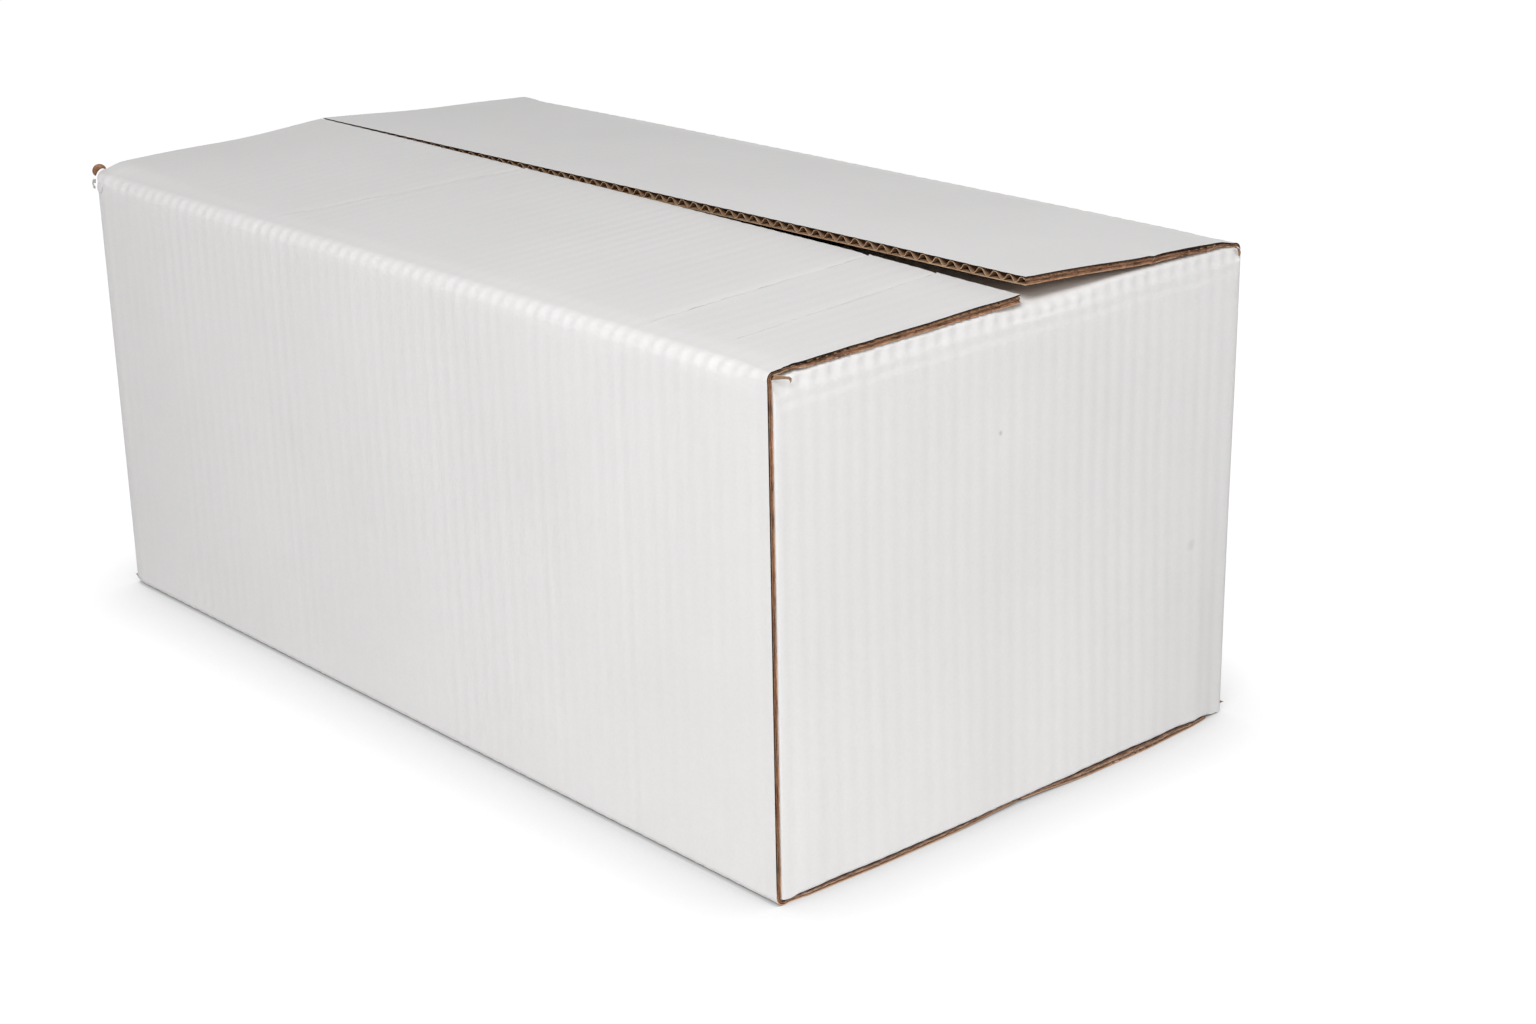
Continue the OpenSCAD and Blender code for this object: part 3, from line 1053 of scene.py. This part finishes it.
# A fibre of liner painted grey, with darker blotches, as shade.
scrap(
    "corner_fibre",
    [(-199.2, -107.2, 169.2), (-200.4, -107.7, 169.1), (-201.3, -107.8, 168.3), (-201.1, -107.8, 167.1),
     (-200.0, -107.4, 166.4)],
    [1.7, 1.7, 1.6, 1.4, 0.9], (0.0, 0.2, 0.95), 0.4, [painted_shade_grey_paper] * 3, "body")
scrap(
    "corner_liner_bulge",
    [(-195.4, -107.25, 165.6), (-195.3, -107.2, 167.2), (-195.2, -106.85, 168.6), (-195.1, -106.1, 169.8)],
    [3.6, 4.6, 4.6, 4.0], (1.0, 0.0, 0.0), 0.2, [white_paper] * 3, "body")


# Floor, backdrop, light and camera

# The floor's glow to the camera against how open it is, a painted contact shadow: dark under the box, pale
# beside it
CONTACT_REACH = 0.05
PAINTED_SHADOW_TONES = ((0.08, 0.02), (0.2, 0.28), (0.45, 0.46), (0.56, 0.68), (0.75, 0.8), (1.0, 0.96))

# How far inside the box's outline the floor's glow is cut off, leaving painted shade under the box, and where
# it starts to be pale
DARK_INSIDE = 10
PALE_INSIDE = 6
AMBIENT_LEVEL = 0.2


def stage_floor():
    """A floor that looks white beside the box and passes light on as pale paper does. To the camera it is
    dark paper with a glow that paints the contact shadow: the glow dims where the floor is closed in and is
    cut off under the box.
    """
    bm = bmesh.new()
    bmesh.ops.create_grid(bm, x_segments=1, y_segments=1, size=6)
    material, nodes, links, shader = new_material("studio_paper")
    shader.inputs["Roughness"].default_value = 1
    shader.inputs["Specular IOR Level"].default_value = 0
    seen = seen_directly(nodes, links)
    tone = nodes.new("ShaderNodeMapRange")
    tone.inputs["To Min"].default_value = 0.8
    tone.inputs["To Max"].default_value = 0.16
    links.new(seen, tone.inputs["Value"])
    links.new(tone.outputs["Result"], shader.inputs["Base Color"])
    # Painted contact shadow: the camera's glow dims where the box closes the floor in.
    contact = nodes.new("ShaderNodeAmbientOcclusion")
    contact.samples = 16
    contact.inputs["Distance"].default_value = CONTACT_REACH
    greys = [(share, (light,) * 3) for share, light in PAINTED_SHADOW_TONES]
    shade = ramp(nodes, links, contact.outputs["AO"], greys)
    glow = arithmetic(nodes, links, "MULTIPLY", seen, shade)
    place = nodes.new("ShaderNodeSeparateXYZ")
    links.new(nodes.new("ShaderNodeTexCoord").outputs["Object"], place.inputs["Vector"])
    beside = []
    for axis, edge in (("X", HALF_L), ("Y", HALF_W)):
        reach = arithmetic(nodes, links, "ABSOLUTE", place.outputs[axis])
        beside.append(step_up(nodes, links, reach, (edge - DARK_INSIDE) * MM, (edge - PALE_INSIDE) * MM))
    glow = arithmetic(nodes, links, "MULTIPLY", glow, arithmetic(nodes, links, "MAXIMUM", *beside))
    shader.inputs["Emission Color"].default_value = (1, 1, 1, 1)
    links.new(glow, shader.inputs["Emission Strength"])
    floor = new_piece("studio_floor", bm, [material])


def studio_world(level):
    """A white backdrop that lights the box only as much as level says."""
    world = bpy.data.worlds.new("studio")
    bpy.context.scene.world = world
    world.use_nodes = True
    nodes, links = world.node_tree.nodes, world.node_tree.links
    background = nodes["Background"]
    background.inputs["Color"].default_value = (1, 1, 1, 1)
    strength = nodes.new("ShaderNodeMapRange")
    strength.inputs["To Min"].default_value = level
    strength.inputs["To Max"].default_value = 1
    links.new(seen_directly(nodes, links), strength.inputs["Value"])
    links.new(strength.outputs["Result"], background.inputs["Strength"])


def softbox(name, place, target, size, power):
    light = bpy.data.lights.new(name, "AREA")
    light.shape = "RECTANGLE"
    light.size, light.size_y = size
    light.energy = power
    lamp = bpy.data.objects.new(name, light)
    lamp.location = place
    lamp.rotation_euler = (Vector(target) - Vector(place)).to_track_quat("-Z", "Y").to_euler()
    bpy.context.scene.collection.objects.link(lamp)


stage_floor()
studio_world(AMBIENT_LEVEL)
SOFTBOXES = (
    ("key_softbox", (0.75, -0.85, 1.15), (0.05, 0, 0.12), (0.6, 0.6), 16.8),
    ("front_softbox", (0.1, -1.8, 0.6), (0, -0.1, 0.08), (1.4, 1.0), 2.9),
    ("right_softbox", (1.7, -0.1, 0.7), (0, 0, 0.1), (1.2, 1.2), 6.15),
    ("back_softbox", (-1.3, 1.5, 0.16), (0, 0, 0.1), (1.6, 0.28), 3.0),
)
for softbox_facts in SOFTBOXES:
    softbox(*softbox_facts)

# The camera, fitted to the corners of the box in the photograph
camera_data = bpy.data.cameras.new("camera")
camera_data.sensor_width = 36
camera_data.lens = 62.702
camera = bpy.data.objects.new("camera", camera_data)
camera.location = (0.75754, -0.58997, 0.38976)
camera.rotation_euler = [math.radians(a) for a in (70.571, 1.573, 48.545)]
bpy.context.scene.collection.objects.link(camera)
bpy.context.scene.camera = camera
bpy.context.scene.view_settings.view_transform = "Standard"
